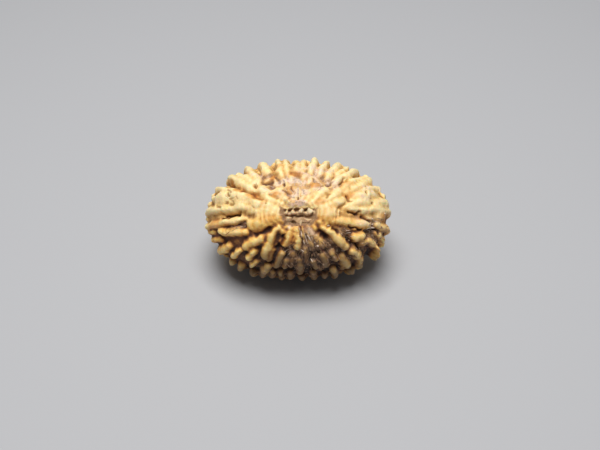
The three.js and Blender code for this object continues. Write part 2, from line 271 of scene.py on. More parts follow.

# What lies on the stone, and where shade is painted on it, each as soft patches: azimuth, polar
# angle, half width in azimuth, half width in polar angle, and strength.
FILM = [
    [95, 26, 30, 16, 1.0],
    [65, 32, 22, 12, 1.0],
    [124, 26, 12, 10, 1.0],
    [76, 46, 18, 10, 0.8],
    [25, 47, 10, 6, 0.8],
    [122, 48, 10, 8, 0.6],
    [352, 44, 10, 8, 0.5],
    [30, 56, 6, 7, 0.9],
    [252, 12, 8, 4, 1.2],
    [290, 18, 8, 6, 0.8],
    # The next row, a band just above the mouth, is partly painted shade under its rim.
    [98, 8, 44, 5, 1.5],
    [346, 51, 5, 4, 1.2],
]
# Painted shade: the lower side, the cavity by the lower right spur and a band above the mouth.
PAINTED_SHADE = [
    [258, 50, 22, 14, 0.8],
    [276, 58, 34, 22, 0.9],
    [272, 84, 50, 22, 1.0],
    [270, 112, 75, 24, 1.0],
    [234, 94, 24, 14, 0.5],
    [317, 86, 7, 16, 1.0],
    [90, 7, 60, 3, 0.4],
]
PULP = [
    [285, 30, 16, 18, 1.0],
    [280, 48, 22, 16, 1.0],
    [262, 42, 9, 12, 0.8],
    [302, 40, 13, 13, 0.9],
    [328, 34, 9, 8, 0.8],
    [322, 48, 9, 8, 0.7],
    [352, 54, 7, 7, 0.7],
    [336, 60, 12, 12, 0.8],
    [316, 62, 12, 12, 0.8],
    [346, 70, 6, 12, 0.6],
    [198, 42, 5, 11, 0.7],
    [270, 70, 42, 16, 0.5],
]
# Orange-brown patches: partly real stains, partly painted shade on shaded ridge undersides and
# above the mouth.
STAIN_AND_SHADE = [
    [128, 20, 11, 4, 1.0],
    [148, 31, 6, 4, 1.0],
    [69, 28, 8, 5, 1.0],
    [36, 13, 14, 4, 0.8],
    [112, 43, 5, 4, 0.9],
    [92, 42, 7, 4, 0.8],
    [31, 37, 6, 4, 0.9],
    [156, 22, 8, 3, 0.6],
    [101, 23, 8, 4, 0.6],
    [143, 66, 4, 6, 0.8],
    [148, 44, 3, 7, 0.9],
    [152, 28, 5, 5, 0.9],
    [103, 55, 4, 6, 0.7],
    [45, 44, 4, 8, 0.6],
    [0, 66, 5, 9, 0.9],
    [357, 40, 4, 8, 0.4],
    [187, 62, 5, 10, 0.7],
    [195, 16, 12, 4, 0.4],
    [345, 16, 12, 5, 0.4],
    [263, 25, 4, 5, 0.7],
    [328, 72, 6, 9, 0.3],
    [255, 30, 4, 4, 0.4],
    [305, 40, 5, 5, 0.5],
    [98, 8, 36, 4, 0.4],
    [112, 14, 6, 6, 0.6],
    [76, 14, 5, 4, 0.4],
    [354, 78, 14, 16, 0.35],
    [0, 20, 26, 9, 0.3],
]
STRAY_SIZE = 1.6  # of the unevenness that the edges of the patches follow
STRAY_AZIMUTH = 5  # how far they stray, in degrees
STAIN_AND_SHADE_STRAY_AZIMUTH = 3
STRAY_POLAR = 3
# Painted light: the upper side, which faces the light, is painted paler, grooves and crests both.
PAINTED_LIGHT_FROM = (-0.3, 0.02)  # the sine of the azimuth, over which the grooves are painted paler, as painted light
PAINTED_LIGHT_STRAY = 0.08
PAINTED_LIGHT_BACK = 0.45  # how much of that painted light is left past the girth
PAINTED_LIGHT_BACK_FROM = (95, 115)  # the polar angles over which they get so

# The fibres and flakes of dried pulp on the patches of PULP.
FIBRES_PER_AREA = 1.2  # in each square millimetre where the pulp is thickest
FIBRE_LENGTH = (0.8, 1.9)
FIBRE_RADIUS = (0.035, 0.075)
FIBRE_POINTS = 6
FIBRE_HIGHEST = 0.95  # dark fibres lie in the grooves, at most this high above their floor
SKIN_LIMIT = 4.0  # higher above the floor than any of the skin
FILM_FIBRES_PER_AREA = 0.7
FILM_FIBRE_SHARE = 0.6  # the size of a fibre in the film, beside one in the pulp
FIBRE_TURN = 28  # how far a fibre may point away from the run of the grooves, in degrees
FIBRE_BEND = 0.4  # how much of such a turn it may take from one point to the next
FIBRE_LIFT = 0.4  # how high its middle lies above the skin, as a share of its radius
FIBRE_SIDES = 5
FLAKES_PER_AREA = 0.7
FLAKE_RADIUS = (0.1, 0.24)
FLAKE_LENGTH = (1, 1.8)  # of its radius
FLAKE_THICKNESS = 0.4  # of its radius
FLAKE_LEAN = 0.3  # how far the line that its length is square to leans towards the mouth
FLAKE_SIDES = 6
FLAKE_STEPS = 5
AXIS_LIMIT = 0.05  # keeps a division by the sine of a polar angle away from nothing
PULP_SEED = 19
# The pale strands that lie on the stone, each from one place to another: azimuth and polar angle of
# both ends, and radius.
STRANDS = [
    [344, 48, 346, 52, 0.1],
    [347, 50, 345, 54, 0.07],
    [341, 53, 345, 55, 0.06],
    [334, 50, 337, 46, 0.06],
    [326, 40, 330, 43, 0.05],
    [318, 36, 322, 42, 0.05],
    [90, 15, 90, 26, 0.13],
    [94, 27, 92, 34, 0.07],
    [86, 28, 90, 36, 0.06],
    [104, 30, 104, 36, 0.12],
    [98, 33, 100, 40, 0.05],
    [284, 21, 285, 27, 0.12],
    [275, 17, 275, 24, 0.08],
    [276, 26, 277, 31, 0.07],
    [280, 19, 280, 30, 0.06],
    [271, 13, 273, 17, 0.1],
    [289, 33, 291, 34, 0.2],
    [262, 37, 257, 41, 0.05],
    [264, 40, 262, 44, 0.05],
    [272, 36, 275, 38, 0.09],
    [279, 48, 280, 50, 0.1],
    [326, 21, 329, 22, 0.15],
    [306, 49, 309, 51, 0.12],
    [345, 51, 347, 56, 0.2],
    [349, 52, 351, 53, 0.16],
    [331, 34, 335, 37, 0.06],
    [328, 36, 332, 39, 0.05],
    [357, 50, 355, 52, 0.14],
    [2, 63, 2, 66, 0.16],
]
STREAK_RING = 9.0  # the radius of the ring round which the places for the streaks are laid

# The ridges on the half with the mouth, one row each: azimuth and polar angle of the inner end,
# azimuth and polar angle of the outer end, width and, where it isn't RIDGE_HEIGHT, height.
LEFT_END = [
    [160, 10, 161, 46, 2.5, 1.1],
    [172, 10, 172, 34, 2.4, 1.1],
    [184, 10, 184, 26, 2.1, 1.1],
    [197, 11, 199, 35, 2.6, 1.15],
    [212, 11, 208, 27, 1.8, 0.95],
    [168, 80, 168, 97, 1.2, 1.0],
    [181, 80, 181, 96, 0.9, 0.9],
    [173, 37, 176, 93, 1.4],
    [188, 32, 187, 93, 1.2],
    [194, 67, 192, 90, 1.0, 0.9],
    [207, 36, 195, 63, 1.35],
    [203, 64, 199, 92, 1.1, 0.95],
    [214, 58, 211, 98, 1.35],
    [226, 31, 222, 52, 1.6],
    [223, 54, 222, 74, 1.05],
    [224, 82, 225, 100, 1.1, 1.35],
    [232, 45, 233, 62, 1.2],
    [232, 76, 233, 102, 1.2, 1.55],
    [229, 14, 246, 53, 1.55],
    [240, 58, 239, 73, 1.0],
    [242, 81, 243, 101, 1.2, 1.65],
    [250, 59, 248, 99, 1.25, 1.55],
]
LOWER_SIDE = [
    [256, 12, 255, 35, 1.8, 1.05],
    [263, 12, 263, 32, 1.3, 0.95],
    [270, 12, 270, 37, 1.3, 1.15],
    [278, 12, 278, 29, 1.0, 0.8],
    [285, 13, 285, 38, 1.0, 0.75],
    [293, 12, 295, 38, 1.6, 0.85],
    [305, 12, 305, 25, 1.0, 0.85],
    [247, 38, 248, 56, 1.1, 0.8],
    [257, 39, 255, 63, 1.1],
    [262, 47, 261, 61, 1.1],
    [255, 69, 255, 97, 1.2],
    [260, 66, 260, 80, 1.1],
    [261, 84, 261, 100, 1.2],
    [266, 66, 266, 98, 1.2],
    [266, 38, 266, 61, 1.1, 0.8],
    [271, 45, 271, 73, 1.2],
    [276, 32, 276, 58, 1.1, 0.75],
    [272, 79, 272, 98, 1.2],
    [281, 49, 281, 62, 1.2],
    [285, 45, 284, 72, 1.1, 0.75],
    [279, 67, 279, 98, 1.3],
    [290, 43, 289, 63, 1.5],
    [286, 76, 286, 99, 1.1],
    [293, 67, 292, 100, 1.1, 1.65],
    [299, 43, 298, 58, 1.1, 1.0],
    [300, 62, 299, 82, 1.0, 0.9],
    [304, 52, 302, 78, 1.35],
    [304, 84, 303, 103, 1.4, 1.85],
    [311, 80, 310, 102, 1.25, 1.55],
]
RIGHT_END = [
    [320, 17, 313, 50, 1.5, 1.2],
    [314, 50, 315, 70, 1.3, 1.3],
    [315, 67, 310, 90, 1.05, 1.25],
    [329, 12, 331, 22, 1.5, 1.0],
    [343, 12, 349, 53, 1.7, 1.2],
    [355, 12, 356, 26, 1.9, 1.15],
    [2, 12, 6, 27, 2.0, 1.15],
    [12, 12, 27, 34, 2.1, 1.15],
    [15, 34, 14, 51, 2.0],
    [13, 54, 12, 90, 1.8],
    [6, 31, 4, 97, 1.3],
    [357, 47, 355, 56, 0.7, 0.85],
    [351, 55, 349, 97, 1.35],
    [343, 60, 338, 86, 1.3, 1.15],
    [334, 55, 329, 75, 1.2, 1.3],
    [332, 66, 323, 94, 0.8, 2.1],
    [324, 44, 337, 52, 1.6, 1.15],
    [325, 53, 334, 58, 1.3, 0.95],
    [338, 86, 336, 101, 1.2],
    [20, 80, 19, 98, 1.3],
    [28, 82, 28, 98, 1.3],
    [25, 38, 21, 66, 1.6],
    [29, 50, 27, 76, 1.3],
]
UPPER_SIDE = [
    [31, 9, 40, 37, 1.9, 1.1],
    [48, 8, 54, 31, 2.0, 1.15],
    [62, 5, 65, 18, 1.6, 1.05],
    [79, 5, 80, 17, 1.6, 1.15],
    [101, 5, 102, 15, 1.5, 0.95],
    [121, 5, 119, 17, 1.8, 1.2],
    [128, 17, 127, 24, 1.6, 1.15],
    [145, 9, 143, 30, 1.6, 1.05],
    [68, 22, 68, 31, 1.7, 1.1],
    [104, 29, 104, 37, 0.8, 0.9],
    [116, 21, 115, 28, 1.2, 0.85],
    [136, 25, 134, 36, 1.8, 1.15],
    [78, 28, 78, 40, 1.2, 0.8],
    [97, 30, 96, 41, 1.0, 0.8],
    [86, 34, 86, 42, 0.9, 0.75],
    [35, 42, 40, 103, 1.7],
    [43, 40, 41, 70, 1.3, 1.15],
    [43, 84, 42, 98, 1.4],
    [53, 36, 50, 96, 1.45, 1.35],
    [58, 46, 57, 86, 1.2, 1.1],
    [64, 39, 65, 103, 1.4],
    [72, 41, 73, 102, 1.25],
    [80, 42, 81, 98, 1.3, 1.5],
    [87, 43, 87, 92, 1.3, 0.85],
    [91, 45, 90, 66, 1.0, 0.95],
    [91, 76, 91, 97, 1.0, 0.7],
    [98, 40, 97, 103, 1.15, 1.05],
    [104, 38, 101, 91, 1.3, 1.1],
    [114, 48, 112, 104, 1.8],
    [127, 40, 122, 90, 1.4],
    [133, 36, 133, 66, 1.7],
    [131, 90, 131, 103, 1.2],
    [141, 31, 136, 102, 1.6],
    [154, 31, 152, 101, 1.3],
    [161, 49, 164, 78, 1.3],
    [159, 90, 160, 100, 1.2],
]

# The ridges past the girth carry on where these rows cross it, every other row in two lengths and
# the rows between in one shorter one.
ROWS = [
    3, 12, 22, 31, 40, 48, 56, 63, 71, 78, 85, 91, 97, 103, 113, 121, 130, 140, 153, 164, 176, 187,
    199, 208, 215, 223, 232, 240, 248, 257, 265, 273, 281, 289, 297, 305, 314, 325, 338, 348,
]
ROW_START = (93, 107)  # polar angle where a row's first length begins, from and to
ROW_LEAD = 9  # how much earlier those on the upper side start, which overlap the rows before them
ROW_BREAK = (122, 136)  # where it gives way to the second
ROW_END = (158, 167)  # where a row of two lengths ends
SHORT_ROW_END = (140, 150)  # where a row of one length ends
ROW_GAP = 3  # degrees between the two lengths
ROW_WIDTH = (1.25, 1.75)
ROW_SWAY = 4  # most degrees of azimuth that a row strays over one length
ROW_SEED = 41

# How fine the skin is.
FLOOR_SIDES = 160
FLOOR_STEPS = 120
FLOOR_GATHER = 1.25  # over 1 puts more of the floor's steps round the mouth
RIDGE_SIDES = 20
RIDGE_STEPS = 28
RIDGE_LENGTH_STEPS = 8  # in which a ridge's length is measured
STRIDE = 0.01  # share of a ridge's length over which its direction is taken
VOXEL = 0.2  # the side of a cell of the grid that fuses the ridges with the floor
SOFTEN_SHARE = 0.5
SOFTEN_ROUNDS = 2
TINY = 1e-6  # keeps a division by nothing away

# Unevenness: numbers from -1 to 1 at the corners of a lattice, which repeats beyond its far side.
LATTICE_SIDE = 61
LATTICE_SEED = 5
LATTICE = np.random.default_rng(LATTICE_SEED).uniform(-1, 1, (LATTICE_SIDE,) * 3)


# The linear congruential rule that makes the draws.
DRAW_FACTOR = 1664525
DRAW_STEP = 1013904223
DRAW_RANGE = 2**32


def draws_from(seed):
    """A repeatable sequence of numbers from 0 to 1."""
    state = seed
    while True:
        state = (state * DRAW_FACTOR + DRAW_STEP) % DRAW_RANGE
        yield state / DRAW_RANGE


def between(draw, ends):
    """The next draw, as a number between two ends."""
    return ends[0] + (ends[1] - ends[0]) * next(draw)


def least_turn(degrees):
    """The same turn as one of at most half round, either way."""
    return (degrees + 180) % 360 - 180


def signed_power(value, power):
    return np.sign(value) * np.abs(value) ** power


def smooth_step(low, high, value):
    """0 below low, 1 above high and an even change between the two."""
    share = np.clip((value - low) / (high - low), 0, 1)
    return share * share * (3 - 2 * share)


def unevenness(points, size, shift=0.0):
    """A number from -1 to 1 at each point, which changes smoothly over about the given size.
    Another shift gives another pattern."""
    spots = points / size + shift
    low = np.floor(spots).astype(int)
    share = spots - low
    share = share * share * (3 - 2 * share)
    total = np.zeros(len(points))
    for corner in itertools.product((0, 1), repeat=3):
        weight = np.where(corner, share, 1 - share).prod(axis=1)
        x, y, z = ((low + corner) % LATTICE_SIDE).T
        total += weight * LATTICE[x, y, z]
    return total


def outward(point):
    """The direction that a place on the groove floor faces."""
    facing = point / FLOOR_HALVES**2
    return facing / np.linalg.norm(facing, axis=-1, keepdims=True)


def seed_point(azimuth, polar, height):
    """The point at some height above the groove floor, in the seed's own axes."""
    azimuth, polar = np.radians(azimuth), np.radians(polar)
    point = np.stack(
        [
            FLOOR_HALF_LENGTH * np.sin(polar) * signed_power(np.cos(azimuth), FLOOR_FULLNESS),
            FLOOR_HALF_HEIGHT * np.sin(polar) * signed_power(np.sin(azimuth), FLOOR_FULLNESS),
            FLOOR_HALF_DEPTH * np.cos(polar),
        ],
        axis=-1,
    )
    return point + outward(point) * np.asarray(height)[..., None]


def place_on_seed(points):
    """Azimuth, polar angle and height above the groove floor of points in the seed's own axes."""
    x, y, z = (points / FLOOR_HALVES).T
    azimuth = np.arctan2(signed_power(y, 1 / FLOOR_FULLNESS), signed_power(x, 1 / FLOOR_FULLNESS))
    ring = np.where(
        np.abs(np.cos(azimuth)) > np.abs(np.sin(azimuth)),
        np.abs(x) / np.maximum(np.abs(np.cos(azimuth)), TINY) ** FLOOR_FULLNESS,
        np.abs(y) / np.maximum(np.abs(np.sin(azimuth)), TINY) ** FLOOR_FULLNESS,
    )
    size = np.hypot(ring, z)
    slope = np.linalg.norm(points / FLOOR_HALVES**2, axis=-1) / size
    height = (size - 1) / slope
    return np.degrees(azimuth) % 360, np.degrees(np.arctan2(ring, z)), height


def far_ridges():
    """The lengths of ridge past the girth, out to the far pole."""
    draw = draws_from(ROW_SEED)
    rows = []
    for index, azimuth in enumerate(ROWS):
        lead = ROW_LEAD * max(0, math.sin(math.radians(azimuth)))
        start = between(draw, ROW_START) - lead
        middle = between(draw, ROW_BREAK)
        end = between(draw, SHORT_ROW_END if index % 2 else ROW_END)
        sway, second_sway = [(2 * next(draw) - 1) * ROW_SWAY for _ in range(2)]
        width = between(draw, ROW_WIDTH)
        second_width = between(draw, ROW_WIDTH)
        turned = azimuth + sway
        if index % 2:
            rows.append([azimuth, start, turned, end, width])
        else:
            rows.append([azimuth, start, turned, middle, width])
            rows.append([turned, middle + ROW_GAP, azimuth + second_sway, end, second_width])
    return rows


def mesh_from(bm, name):
    mesh = bpy.data.meshes.new(name)
    bm.to_mesh(mesh)
    bm.free()
    return mesh


def add_object(name, data):
    thing = bpy.data.objects.new(name, data)
    bpy.context.scene.collection.objects.link(thing)
    return thing


def add_ball(bm, sides, steps, place):
    """Adds a ball whose vertices are put where the function place says. It is made on its own
    first, because a bmesh operator gets slow on a large mesh."""
    alone = bmesh.new()
    bmesh.ops.create_uvsphere(alone, u_segments=sides, v_segments=steps, radius=1)
    round_places = np.array([vert.co for vert in alone.verts])
    for vert, spot in zip(alone.verts, place(round_places)):
        vert.co = spot
    bmesh.ops.recalc_face_normals(alone, faces=alone.faces)
    ball = mesh_from(alone, "ball")
    bm.from_mesh(ball)
    bpy.data.meshes.remove(ball)


def floor_place(ball):
    """Where the vertices of a ball go to make it the groove floor, with the collar and the lip of
    the mouth raised and the shallow grooves filled."""
    azimuth = np.degrees(np.arctan2(ball[:, 1], ball[:, 0]))
    polar = np.degrees(np.arccos(np.clip(ball[:, 2], -1, 1)))
    polar = 180 * (polar / 180) ** FLOOR_GATHER
    rise = COLLAR_RISE * (1 - smooth_step(*COLLAR_FALL, polar))
    rise += LIP_RISE * (1 - smooth_step(*LIP_FALL, polar))
    rise *= 1 - LOWER_LIP_DROP * smooth_step(*LOWER_LIP_FROM, np.sin(np.radians(azimuth)))
    fill = patch_strength(azimuth % 360, polar, FILL)
    lumps = unevenness(seed_point(azimuth, polar, 0), FILL_LUMP_SIZE, shift=6.1)
    lumps = lumps * smooth_step(*FILL_LUMPS_FROM, polar)
    return seed_point(azimuth, polar, np.maximum(rise, fill) + FILL_UNEVEN * lumps * fill)


def add_ridge(bm, row, draw):
    """Adds one ridge, which swells at its knuckles and wanders a little from its line."""
    inner_azimuth, inner_polar, outer_azimuth, outer_polar, width, *rest = row
    height = rest[0] if rest else RIDGE_HEIGHT
    turn = least_turn(outer_azimuth - inner_azimuth)

    def along(share):
        polar = inner_polar + (outer_polar - inner_polar) * share
        return seed_point(inner_azimuth + turn * share, polar, 0 * share)

    stops = along(np.linspace(0, 1, RIDGE_LENGTH_STEPS + 1))
    length = np.linalg.norm(np.diff(stops, axis=0), axis=1).sum()
    knuckle_length = between(draw, KNUCKLE_LENGTH)
    swell_phase, rise_phase, wander_phase = (math.tau * next(draw) for _ in range(3))

    def place(ball):
        power = 2 / RIDGE_BLUNTNESS
        share = (1 + signed_power(ball[:, 2], power)) / 2
        around = np.maximum(np.hypot(ball[:, 0], ball[:, 1]), TINY)
        fullness = around**power / around
        beat = math.tau * share * length / knuckle_length
        swell = 1 + KNUCKLE_SWELL * np.sin(beat + swell_phase)
        tallness = height * (1 - KNUCKLE_DIP * (1 + np.sin(beat + rise_phase)) / 2)
        wander = RIDGE_WANDER * np.sin(beat * WANDER_SHARE + wander_phase)
        foot = along(share)
        up = outward(foot)
        onward = along(share + STRIDE) - along(share - STRIDE)
        across = np.cross(onward, up)
        across /= np.linalg.norm(across, axis=-1, keepdims=True)
        half_thickness = (tallness + RIDGE_ROOT) / 2
        middle_height = (tallness - RIDGE_ROOT) / 2
        lift = middle_height + ball[:, 1] * fullness * half_thickness
        flare = 1 + RIDGE_FLARE * (1 - np.clip(lift / height, 0, 1))
        polar = inner_polar + (outer_polar - inner_polar) * share
        from_pole = np.minimum(polar, 180 - polar)
        narrowing = np.interp(from_pole, [NARROW_TO, NARROW_FROM], [NARROWEST, 1])
        side = wander + ball[:, 0] * fullness * width / 2 * flare * narrowing * swell
        return foot + across * side[:, None] + up * lift[:, None]

    add_ball(bm, RIDGE_SIDES, RIDGE_STEPS, place)


def patch_strength(azimuth, polar, patches):
    """How strongly the strongest of some soft patches covers each place."""
    strength = np.zeros(len(azimuth))
    for middle_azimuth, middle_polar, half_azimuth, half_polar, most in patches:
        turn = least_turn(azimuth - middle_azimuth)
        distance = np.hypot(turn / half_azimuth, (polar - middle_polar) / half_polar)
        strength = np.maximum(strength, most * (1 - smooth_step(*PATCH_EDGE, distance)))
    return strength


def dome(points, across, up, half_width, half_height):
    """A round dome from 1 over its middle to 0 at its edge."""
    distance = np.hypot((points[:, 0] - across) / half_width, (points[:, 1] - up) / half_height)
    return np.sqrt(np.clip(1 - distance**2, 0, 1))


def highest_dome(points, rows):
    """How high the highest of some domes is at each point. A row ends with its dome's height."""
    height = np.zeros(len(points))
    for *spot, rise in rows:
        height = np.maximum(height, rise * dome(points, *spot))
    return height


def mouth_surface(points):
    """How high the stone may reach at each point over the mouth, how much of that is nub, how deep
    a hole is there, and whether the point lies in the mouth."""
    lumps = unevenness(points, MOUTH_LUMP_SIZE, shift=11.3)
    grain = unevenness(points, MOUTH_GRAIN_SIZE, shift=2.3)
    sway = np.stack([unevenness(points, NUB_WARP_SIZE, shift) for shift in (1.7, 8.9)], axis=1)
    strayed = points[:, :2] + NUB_WARP * sway
    nub = highest_dome(strayed, NUBS)
    hole = highest_dome(strayed, HOLES)
    upward = points[:, 1] - MOUTH_MIDDLE[1]
    share = upward / MOUTH_HEIGHT + 0.5
    half_width = (MOUTH_BOTTOM_WIDTH + (MOUTH_TOP_WIDTH - MOUTH_BOTTOM_WIDTH) * share) / 2
    half_width -= MOUTH_CORNER * smooth_step(*MOUTH_CORNER_FROM, share)
    rim = MOUTH_RIM_UNEVEN * lumps + MOUTH_RIM_GRAIN * grain
    beside = np.abs(points[:, 0] - MOUTH_MIDDLE[0]) - half_width + rim
    beyond = np.abs(upward) - MOUTH_HEIGHT / 2 + rim
    top_wall = MOUTH_TOP_WALL * (beyond + MOUTH_TOP_INSET)
    bottom_wall = MOUTH_BOTTOM_WALL * (beyond + MOUTH_BOTTOM_INSET)
    side_wall = MOUTH_WALL * (beside + MOUTH_INSET)
    wall = np.maximum(side_wall, np.where(upward > 0, top_wall, bottom_wall))
    wall = np.maximum(wall, 0)
    inside = smooth_step(*MOUTH_EDGE, np.maximum(beside, beyond) + MOUTH_EDGE_GRAIN * grain)
    floor = MOUTH_FLOOR + MOUTH_FLOOR_UNEVEN * (lumps + grain)
    return np.maximum(floor + nub, floor + wall) - hole, nub, hole, inside


def read_places(mesh, what="co"):
    """The places of a mesh's vertices, or the directions that they face."""
    values = np.empty(len(mesh.vertices) * 3)
    mesh.vertices.foreach_get(what, values)
    return values.reshape(-1, 3)


def write_places(mesh, places):
    mesh.vertices.foreach_set("co", np.asarray(places, np.float32).ravel())
    mesh.update()


def write_attribute(mesh, name, values):
    """Keeps a number, or three of them, for every vertex."""
    kind, part = ("FLOAT", "value") if values.ndim == 1 else ("FLOAT_VECTOR", "vector")
    mesh.attributes.new(name, kind, "POINT").data.foreach_set(part, values.ravel())


def run_of_grooves(azimuth, along):
    """Places for streaks that run the way the grooves do, away from the mouth."""
    turn = np.radians(azimuth)
    return np.stack([STREAK_RING * np.cos(turn), STREAK_RING * np.sin(turn), along], axis=-1)


def body_with_ridges():
    """The floor and every ridge fused into one even skin."""
    bm = bmesh.new()
    add_ball(bm, FLOOR_SIDES, FLOOR_STEPS, floor_place)
    draw = draws_from(KNUCKLE_SEED)
    for row in LEFT_END + LOWER_SIDE + RIGHT_END + UPPER_SIDE + far_ridges():
        add_ridge(bm, row, draw)
    loose = mesh_from(bm, "loose")
    stone = add_object("seed_stone", loose)
    remesh = stone.modifiers.new("skin", "REMESH")
    remesh.mode = "VOXEL"
    remesh.voxel_size = VOXEL
    smooth = stone.modifiers.new("soften", "SMOOTH")
    smooth.factor = SOFTEN_SHARE
    smooth.iterations = SOFTEN_ROUNDS
    graph = bpy.context.evaluated_depsgraph_get()
    skin = bpy.data.meshes.new_from_object(stone.evaluated_get(graph))
    stone.modifiers.clear()
    stone.data = skin
    bpy.data.meshes.remove(loose)
    skin.name = "seed_stone"
    return stone


def refine_mouth(mesh):
    """Splits every face round the mouth, so that its nubs are crisp."""
    bm = bmesh.new()
    bm.from_mesh(mesh)
    reach = FLOOR_HALF_HEIGHT * math.sin(math.radians(MOUTH_REACH))

    def by_mouth(face):
        middle = face.calc_center_median()
        return middle.xy.length < reach and middle.z > 0 and face.normal.z > 0

    faces = [face for face in bm.faces if by_mouth(face)]
    edges = list({edge for face in faces for edge in face.edges})
    bmesh.ops.subdivide_edges(bm, edges=edges, cuts=1, use_grid_fill=True)
    bmesh.ops.triangulate(bm, faces=[face for face in bm.faces if len(face.verts) > 4])
    bm.to_mesh(mesh)
    bm.free()
    mesh.update()


def press_mouth(mesh):
    """Sinks the mouth into the collar, with its nubs left standing. Gives back where it is, and
    how light its surface is."""
    points = read_places(mesh)
    allowed, nub, hole, inside = mouth_surface(points)
    near = (points[:, 2] > 0) & (np.hypot(points[:, 0], points[:, 1]) < MOUTH_LIMIT)
    pressed = near & (points[:, 2] > allowed)
    points[pressed, 2] = allowed[pressed]
    write_places(mesh, points)
    # Painted shade: holes darker the deeper they are.
    lightness = np.clip(MOUTH_LIGHTNESS + NUB_LIGHTNESS * nub - HOLE_DARKNESS * hole, 0, 1)
    return np.where(near, inside, 0), lightness


def hollowness(mesh, normals):
    """How far each point lies below its smoothed surroundings, in millimetres."""
    edges = np.empty(len(mesh.edges) * 2, int)
    mesh.edges.foreach_get("vertices", edges)
    first, second = edges.reshape(-1, 2).T
    count = len(mesh.vertices)
    partners = np.bincount(first, minlength=count) + np.bincount(second, minlength=count)
    points = read_places(mesh)
    smoothed = points.copy()
    for _ in range(GROOVE_ROUNDS):
        total = np.stack(
            [
                np.bincount(first, smoothed[second, axis], count)
                + np.bincount(second, smoothed[first, axis], count)
                for axis in range(3)
            ],
            axis=1,
        )
        smoothed = (smoothed + total / partners[:, None]) / 2
    return ((smoothed - points) * normals).sum(axis=1)


def dig_hollows(points, coarse):
    """Sinks the holes and short grooves into the points, and gives how brown each point is, which
    is partly its own colour and partly painted shade.
    """
    brown = np.zeros(len(points))
    shifts = (0.3, 5.6, 9.2)
    sway = np.stack([unevenness(points, HOLLOW_WARP_SIZE, shift) for shift in shifts], axis=1)
    for first_azimuth, first_polar, last_azimuth, last_polar, half_width, depth, most in HOLLOWS:
        turn = least_turn(last_azimuth - first_azimuth)
        azimuths = np.array([first_azimuth, first_azimuth + turn], float)
        polars = np.array([first_polar, last_polar], float)
        first, last = seed_point(azimuths, polars, np.full(2, HOLLOW_HEIGHT))
        facing = outward((first + last) / 2)
        run = last - first
        offset = points + HOLLOW_WARP * sway - first
        share = np.clip(offset @ run / (run @ run), 0, 1)
        offset -= np.outer(share, run)
        sideways = offset - np.outer(offset @ facing, facing)
        distance = np.linalg.norm(sideways, axis=1) * (1 + HOLLOW_UNEVEN * coarse) / half_width
        within_reach = np.linalg.norm(offset, axis=1) < HOLLOW_REACH
        sunk = smooth_step(*HOLLOW_WALL, distance) * within_reach
        points -= np.outer(sunk * depth, facing)
        brown = np.maximum(brown, smooth_step(*HOLLOW_BROWN, distance) * most * (sunk > 0))
    return brown


def roughen(mesh, mouth):
    """Gives the skin its wrinkles, lumps, crust and hollows. Gives back each point's azimuth and
    distance from the mouth, and where each cover lies, painted shade and painted light among them."""
    points = read_places(mesh)
    normals = read_places(mesh, "normal")
    azimuth, polar, height = place_on_seed(points)
    crest = np.clip(height / RIDGE_HEIGHT, 0, 1)
    coarse = unevenness(points, STRAY_SIZE, shift=3.1)
    # Painted light: the upper side, which faces the light, is painted paler.
    upper = smooth_step(*PAINTED_LIGHT_FROM, np.sin(np.radians(azimuth)) + PAINTED_LIGHT_STRAY * coarse)
    covers = {"pale": upper + (PAINTED_LIGHT_BACK - upper) * smooth_step(*PAINTED_LIGHT_BACK_FROM, polar)}
    for name, patches, stray in (
        ("film", FILM, STRAY_AZIMUTH),
        ("painted_shade", PAINTED_SHADE, STRAY_AZIMUTH),
        ("pulp", PULP, STRAY_AZIMUTH),
        ("stain_and_shade", STAIN_AND_SHADE, STAIN_AND_SHADE_STRAY_AZIMUTH),
    ):
        strayed = azimuth + stray * coarse
        covers[name] = patch_strength(strayed, polar + STRAY_POLAR * coarse, patches)
    along = distance_from_mouth(points, polar)
    phase = math.tau * along / WRINKLE_LENGTH
    phase += WRINKLE_BEND * unevenness(points, WRINKLE_BEND_SIZE, shift=7.7)
    collar = 1 - smooth_step(*COLLAR_WRINKLE_RANGE, polar)
    depth = WRINKLE_DEPTH + (COLLAR_WRINKLE_DEPTH - WRINKLE_DEPTH) * collar
    depth *= WRINKLE_MIX + WRINKLE_MIX * unevenness(points, WRINKLE_MIX_SIZE, shift=1.9)
    wrinkle = depth * np.sin(phase) * smooth_step(*WRINKLE_CREST, crest)
    lump = LUMP_HEIGHT * unevenness(points, LUMP_SIZE)
    grain = GRAIN_HEIGHT * unevenness(points, GRAIN_SIZE)
    low_lying = 1 - smooth_step(*CRUST_CREST, crest)
    crust = CRUST_MIX + unevenness(points, CRUST_SIZE, shift=4.4)
    crust *= CRUST_HEIGHT * covers["pulp"] * low_lying
    relief = wrinkle + lump + grain + crust
    points += normals * (relief * (1 - MOUTH_CALM * mouth))[:, None]
    covers["brown"] = dig_hollows(points, coarse)
    write_places(mesh, points)
    below = hollowness(mesh, read_places(mesh, "normal"))
    # The tone is half crest, with the stone's own darker grooves, and half depth below the
    # surroundings, which is painted shade in recesses.
    covers["tone"] = (smooth_step(*TONE_CREST, crest) + smooth_step(*GROOVE_RANGE, below)) / 2
    return azimuth, along, covers


def distance_from_mouth(points, polar):
    """How far each point is from the axis of the mouth, measured over the stone."""
    turn = np.radians(polar)
    return turn * np.hypot(points[:, 0], points[:, 1]) / np.maximum(np.sin(turn), AXIS_LIMIT)


